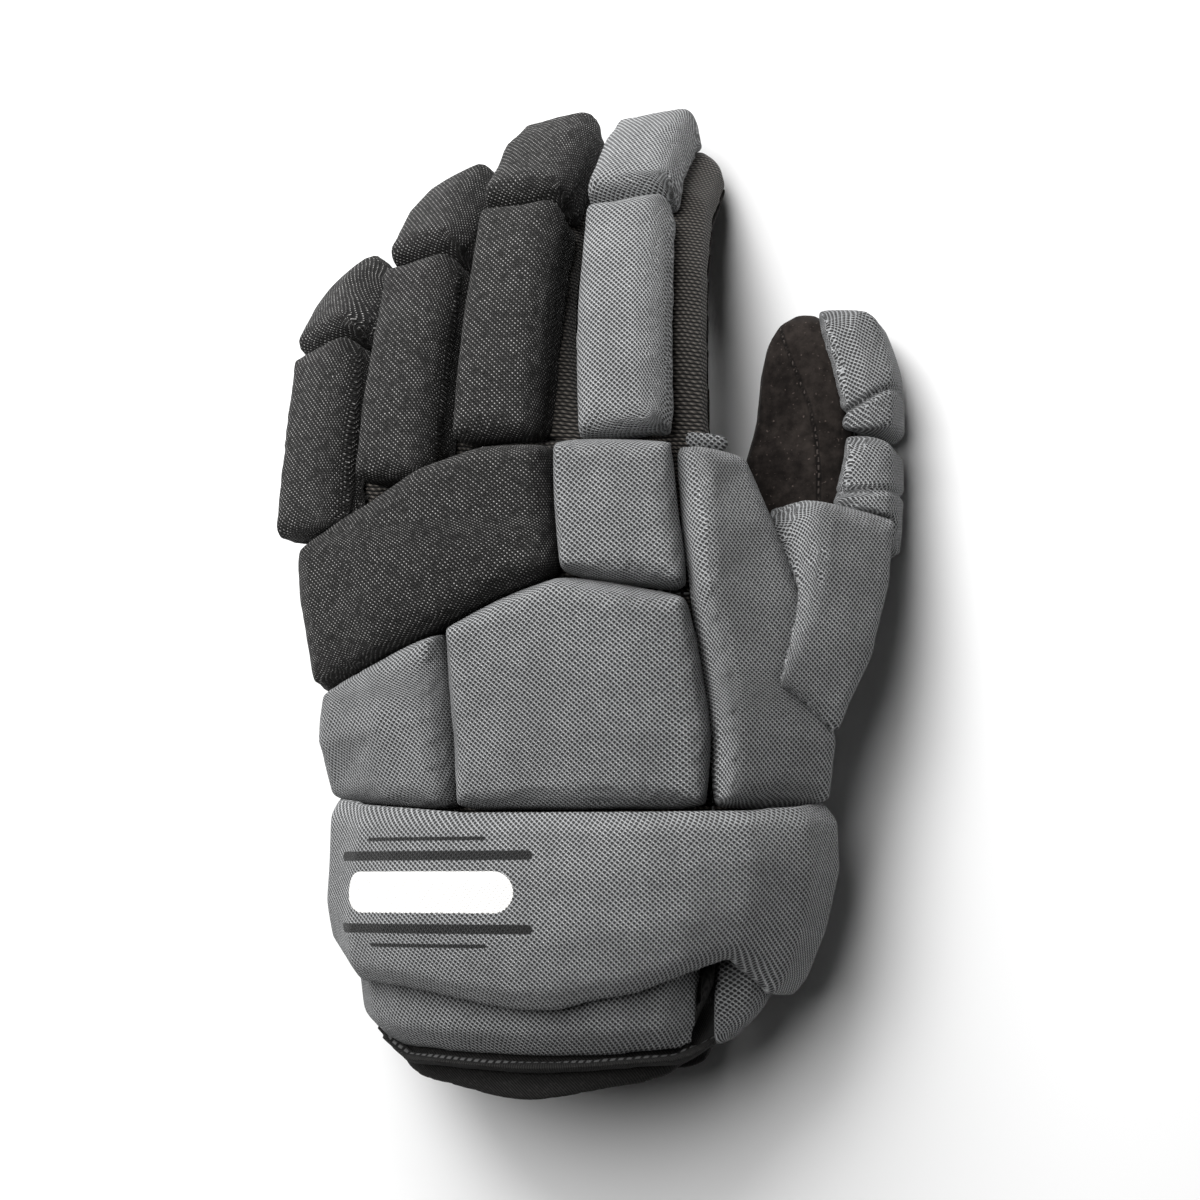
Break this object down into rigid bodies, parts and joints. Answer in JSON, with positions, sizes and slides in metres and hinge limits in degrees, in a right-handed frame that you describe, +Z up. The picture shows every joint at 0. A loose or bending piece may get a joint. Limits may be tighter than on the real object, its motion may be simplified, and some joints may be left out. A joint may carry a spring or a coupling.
{
  "type": "padded sports glove",
  "caption": "Left-hand padded stick-sport glove lying palm down, with segmented foam pads on back, fingers and thumb, a suede palm and a cushioned cuff under a wrap band",
  "frame": {"origin": "On the ground under the middle of the bounding box", "axes": "+X to the thumb side, +Y to the fingertips, +Z up out of the back of the hand"},
  "size_m": [0.204, 0.325, 0.0949],
  "materials": {
    "grey_mesh": "knitted spacer mesh over foam",
    "black_mesh": "knitted spacer mesh over foam",
    "black_knit": "ribbed knit mesh",
    "suede": "napped suede",
    "black_binding": "woven lining cloth and binding"
  },
  "bodies": {
    "root": {"palm": "suede", "hand_backing": "black_knit", "index_front": "suede", "index_gusset": "black_knit", "middle_front": "suede", "middle_gusset": "black_knit", "ring_front": "suede", "ring_gusset": "black_knit", "pinky_front": "suede", "pinky_gusset": "black_knit", "thumb_front": "suede", "thumb_gusset": "black_knit", "cuff_lining": "black_binding", "cuff_roll": "grey_mesh", "cuff_side_roll": "grey_mesh", "cuff_binding": "black_binding", "wrist_band": "grey_mesh", "center_hand_pad": "grey_mesh", "outer_hand_pad": "grey_mesh", "knuckle_pad": "black_mesh", "index_knuckle_pad": "grey_mesh", "inner_hand_pad": "grey_mesh", "index_mid_pad": "grey_mesh", "index_tip_pad": "grey_mesh", "middle_mid_pad": "black_mesh", "middle_tip_pad": "black_mesh", "ring_mid_pad": "black_mesh", "ring_tip_pad": "black_mesh", "pinky_mid_pad": "black_mesh", "pinky_tip_pad": "black_mesh", "thumb_base_pad": "grey_mesh", "thumb_mid_pad": "grey_mesh", "thumb_tip_pad": "grey_mesh"}
  },
  "joints": []
}
